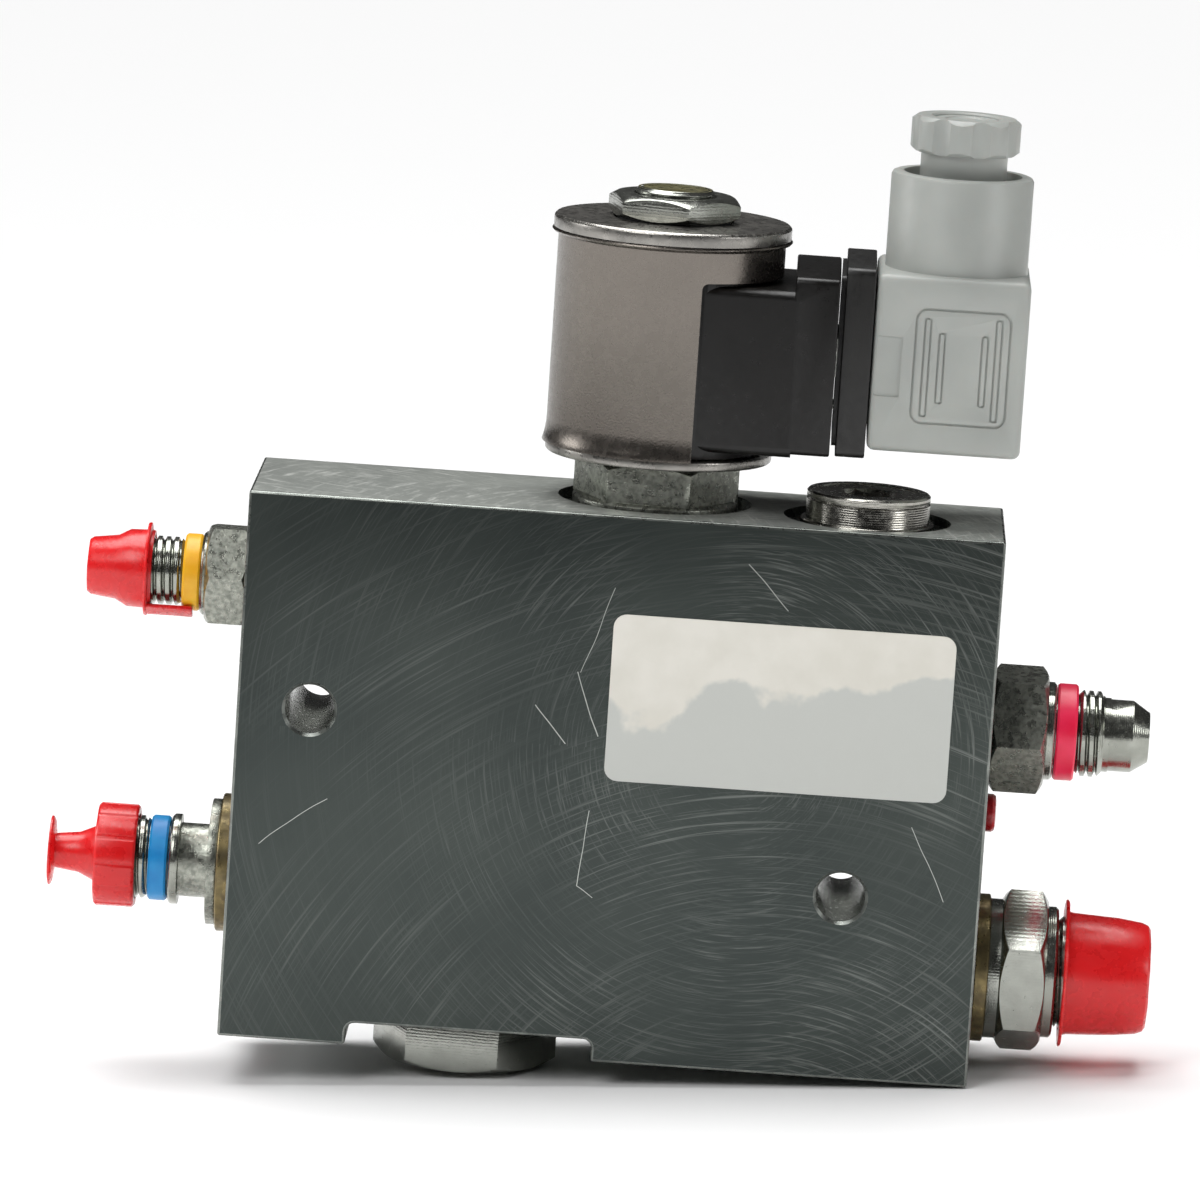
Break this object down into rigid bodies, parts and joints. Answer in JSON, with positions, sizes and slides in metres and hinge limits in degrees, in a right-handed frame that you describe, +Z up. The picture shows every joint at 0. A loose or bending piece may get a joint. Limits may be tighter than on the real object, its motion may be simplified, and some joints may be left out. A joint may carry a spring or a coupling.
{
  "type": "solenoid directional valve manifold",
  "caption": "Drilled steel manifold block with a screw-in solenoid cartridge valve, a plug-on cable connector, a check cartridge and capped hose fittings.",
  "frame": {"origin": "centre of the block's rear mounting face", "axes": "+Z up through the solenoid, +X along the block to the side with the largest fitting, +Y out of the rear mounting face, so that the labelled front looks along -Y"},
  "size_m": [0.1854, 0.0417, 0.1642],
  "materials": {
    "block_zinc": "dark zinc plate over milled steel, with cutter arcs and fine scratches",
    "fitting_zinc": "grainy zinc plate over forged steel",
    "bright_zinc": "bright clear zinc plate over turned steel",
    "turned_steel": "fine turned and oiled steel",
    "spring_steel": "drawn spring wire",
    "coil_steel": "satin gunmetal plate over drawn steel",
    "black_plastic": "black glass filled nylon with a slight sheen",
    "gasket_rubber": "moulded black rubber",
    "nitrile": "moulded nitrile rubber",
    "bobbin_plastic": "natural nylon",
    "copper_winding": "enamelled copper wire",
    "tinned_contact": "tinned blades",
    "grey_plastic": "light grey moulded nylon, satin",
    "bonded_seal": "yellow zinc plate on a steel ring with a bonded rubber lip",
    "red_plastic": "soft red polyethylene, slightly translucent",
    "red_lacquer": "red sealing lacquer over steel",
    "yellow_band": "yellow plastic ring",
    "blue_band": "blue plastic ring",
    "pink_band": "rose red plastic ring",
    "label_paper": "blank worn cream and grey label stock"
  },
  "bodies": {
    "manifold": {"manifold_block": "block_zinc", "front_label": "label_paper", "valve_cartridge_body": "fitting_zinc", "core_tube": "bright_zinc", "pole_piece": "turned_steel", "return_spring": "spring_steel", "valve_upper_o_ring": "nitrile", "valve_middle_o_ring": "nitrile", "valve_lower_o_ring": "nitrile", "check_cartridge_body": "turned_steel", "check_seat_ring": "turned_steel", "check_spring": "spring_steel", "check_upper_o_ring": "nitrile", "check_lower_o_ring": "nitrile", "bottom_plug": "bright_zinc", "bottom_plug_o_ring": "nitrile", "side_plug": "red_lacquer", "coil_lower_o_ring": "nitrile", "upper_left_fitting": "fitting_zinc", "upper_left_o_ring": "nitrile", "upper_left_band": "yellow_band", "lower_left_fitting": "fitting_zinc", "lower_left_seal": "bonded_seal", "lower_left_band": "blue_band", "upper_right_fitting": "fitting_zinc", "upper_right_o_ring": "nitrile", "upper_right_band": "pink_band", "lower_right_fitting": "bright_zinc", "lower_right_seal": "bonded_seal"},
    "armature": {"armature": "turned_steel", "push_pin": "turned_steel", "valve_spool": "turned_steel"},
    "check_poppet": {"check_poppet": "turned_steel"},
    "coil": {"coil_lower_plate": "bright_zinc", "coil_can": "coil_steel", "coil_upper_plate": "coil_steel", "coil_plug_moulding": "black_plastic", "coil_bobbin": "bobbin_plastic", "coil_winding": "copper_winding", "terminal_pin_1": "tinned_contact", "terminal_pin_2": "tinned_contact", "earth_pin": "tinned_contact"},
    "coil_nut_seal": {"coil_nut_o_ring": "nitrile"},
    "coil_nut": {"coil_nut": "bright_zinc"},
    "connector": {"connector_gasket": "gasket_rubber", "connector_housing": "grey_plastic", "connector_terminal_block": "black_plastic", "gland_grommet": "nitrile"},
    "connector_screw_seal": {"connector_screw_o_ring": "nitrile"},
    "connector_screw": {"connector_screw": "bright_zinc"},
    "gland_washer": {"gland_washer": "bright_zinc"},
    "gland_nut": {"gland_nut": "grey_plastic", "gland_blanking_disc": "grey_plastic"},
    "upper_left_cap": {"upper_left_cap": "red_plastic"},
    "lower_left_cap": {"lower_left_cap": "red_plastic"},
    "lower_right_cap": {"lower_right_cap": "red_plastic"}
  },
  "joints": [
    {"name": "armature_stroke", "type": "slide", "parent": "manifold", "child": "armature", "axis": [0, 0, 1], "range_m": [0, 0.0025], "stiffness_N_per_m": 1800, "springref_m": -0.004, "deforming": ["return_spring"]},
    {"name": "check_lift", "type": "slide", "parent": "manifold", "child": "check_poppet", "axis": [0, 0, 1], "range_m": [0, 0.003], "stiffness_N_per_m": 900, "springref_m": -0.003, "deforming": ["check_spring"]},
    {"name": "coil_swivel", "type": "hinge", "parent": "manifold", "child": "coil", "pos_m": [0.004, -0.0166, 0.046], "axis": [0, 0, 1], "continuous": true},
    {"name": "coil_nut_lift", "type": "slide", "parent": "manifold", "child": "coil_nut_seal", "axis": [0, 0, 1], "range_m": [0, 0.006]},
    {"name": "coil_nut_turn", "type": "hinge", "parent": "coil_nut_seal", "child": "coil_nut", "pos_m": [0.004, -0.0166, 0.095], "axis": [0, 0, 1], "range_deg": [0, 2165]},
    {"name": "connector_unplug", "type": "slide", "parent": "coil", "child": "connector", "axis": [1, 0, 0], "range_m": [0, 0.04]},
    {"name": "connector_screw_draw", "type": "slide", "parent": "connector", "child": "connector_screw_seal", "axis": [1, 0, 0], "range_m": [0, 0.008]},
    {"name": "connector_screw_turn", "type": "hinge", "parent": "connector_screw_seal", "child": "connector_screw", "pos_m": [0.0625, -0.0166, 0.073], "axis": [1, 0, 0], "range_deg": [0, 5770]},
    {"name": "gland_nut_lift", "type": "slide", "parent": "connector", "child": "gland_washer", "axis": [0, 0, 1], "range_m": [0, 0.009]},
    {"name": "gland_nut_turn", "type": "hinge", "parent": "gland_washer", "child": "gland_nut", "pos_m": [0.0514, -0.0166, 0.11], "axis": [0, 0, 1], "range_deg": [0, 2165]},
    {"name": "upper_left_cap_pull", "type": "slide", "parent": "manifold", "child": "upper_left_cap", "axis": [-1, 0, 0], "range_m": [0, 0.015]},
    {"name": "lower_left_cap_pull", "type": "slide", "parent": "manifold", "child": "lower_left_cap", "axis": [-1, 0, 0], "range_m": [0, 0.012]},
    {"name": "lower_right_cap_pull", "type": "slide", "parent": "manifold", "child": "lower_right_cap", "axis": [1, 0, 0], "range_m": [0, 0.018]}
  ],
  "couplings": [
    {"joint": "coil_nut_turn", "follows": "coil_nut_lift", "rad_per_m": 6283.2},
    {"joint": "connector_screw_turn", "follows": "connector_screw_draw", "rad_per_m": 12566},
    {"joint": "gland_nut_turn", "follows": "gland_nut_lift", "rad_per_m": 4188.8}
  ]
}
